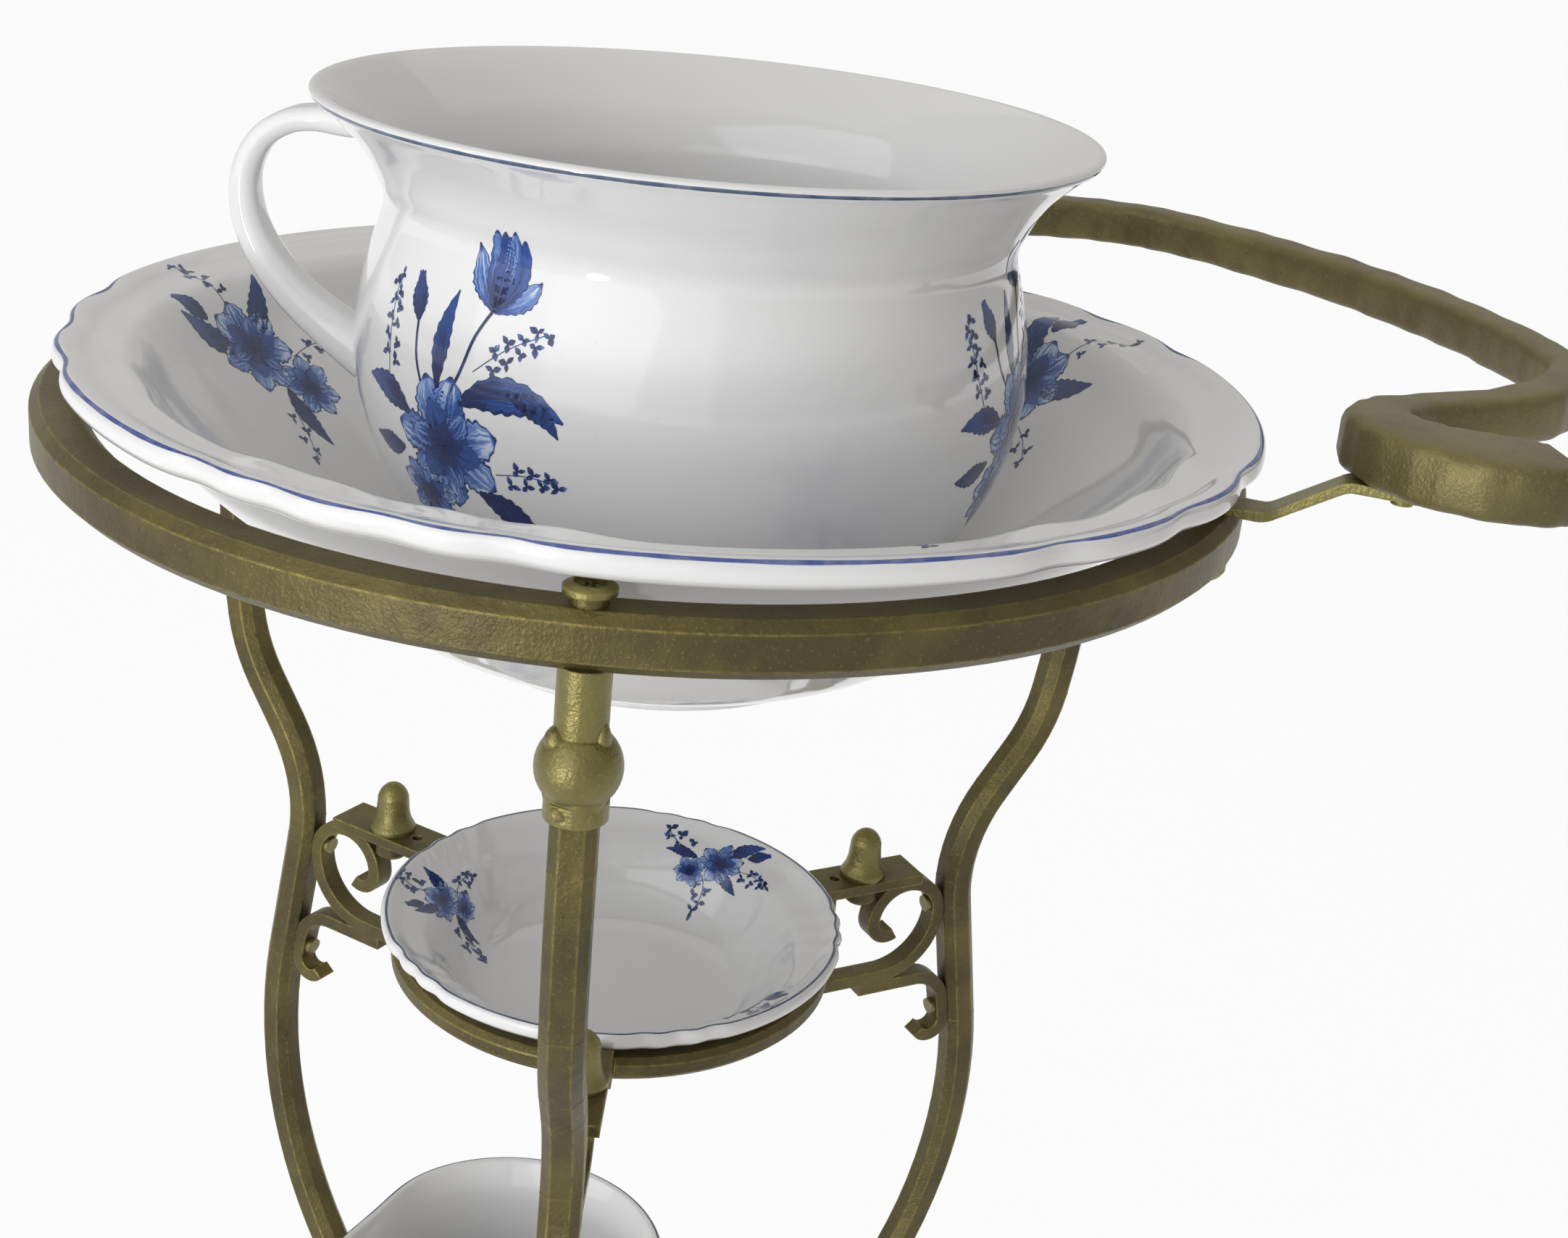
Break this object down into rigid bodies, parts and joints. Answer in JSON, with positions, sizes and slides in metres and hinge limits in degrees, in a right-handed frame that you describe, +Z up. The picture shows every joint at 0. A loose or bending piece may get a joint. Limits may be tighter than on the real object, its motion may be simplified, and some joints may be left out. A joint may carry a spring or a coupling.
{
  "type": "iron wash basin stand",
  "caption": "Gilded iron wash basin stand on curved legs with a side towel rail, a loose basin, chamber pot, dish and jug in white and blue pottery.",
  "frame": {"origin": "on the floor, under the middle of the whole outline seen from above, towel rail included; the stand's own axis is at x = -0.0611, y = -0.0415", "axes": "+Z up; the front leg stands towards -Y, the towel rail lies towards +X and +Y, 30 degrees round from +X"},
  "size_m": [0.5022, 0.4728, 0.8762],
  "materials": {
    "gilt_iron": "worn gold-bronze paint over cast grain",
    "gilt_fittings": "gold-bronze paint, rubbed bright on the high spots",
    "glazed_pottery": "white glaze with a cobalt rim line and sprays of flowers"
  },
  "bodies": {
    "frame": {"top_ring": "gilt_iron", "leg_front": "gilt_iron", "leg_right": "gilt_iron", "leg_left": "gilt_iron", "leg_tubes": "gilt_fittings", "leg_knops": "gilt_fittings", "ring_screws": "gilt_fittings", "screw_collars": "gilt_iron", "dish_ring": "gilt_iron", "bracket_front": "gilt_iron", "bracket_right": "gilt_iron", "bracket_left": "gilt_iron", "bracket_rivets": "gilt_fittings", "finials": "gilt_fittings", "finial_nuts": "gilt_iron", "waist_ring": "gilt_iron", "waist_screws": "gilt_fittings", "jug_shelf": "gilt_iron", "shelf_screws": "gilt_fittings", "feet": "gilt_iron", "towel_rail": "gilt_iron", "rail_strap_front": "gilt_iron", "rail_strap_rear": "gilt_iron", "strap_bolts": "gilt_fittings", "strap_nuts": "gilt_fittings", "rail_rivets": "gilt_fittings"},
    "basin": {"basin": "glazed_pottery"},
    "pot": {"pot_body": "glazed_pottery", "pot_handle": "glazed_pottery"},
    "dish": {"dish": "glazed_pottery"},
    "jug": {"jug_body": "glazed_pottery", "jug_handle": "glazed_pottery"}
  },
  "joints": [
    {"name": "basin_lift", "type": "slide", "parent": "frame", "child": "basin", "axis": [0, 0, 1], "range_m": [0, 0.11]},
    {"name": "pot_lift", "type": "slide", "parent": "basin", "child": "pot", "axis": [0, 0, 1], "range_m": [0, 0.12]},
    {"name": "dish_lift", "type": "slide", "parent": "frame", "child": "dish", "axis": [0, 0, 1], "range_m": [0, 0.06]},
    {"name": "jug_out", "type": "slide", "parent": "frame", "child": "jug", "axis": [-0.866, -0.5, 0], "range_m": [0, 0.24]}
  ]
}
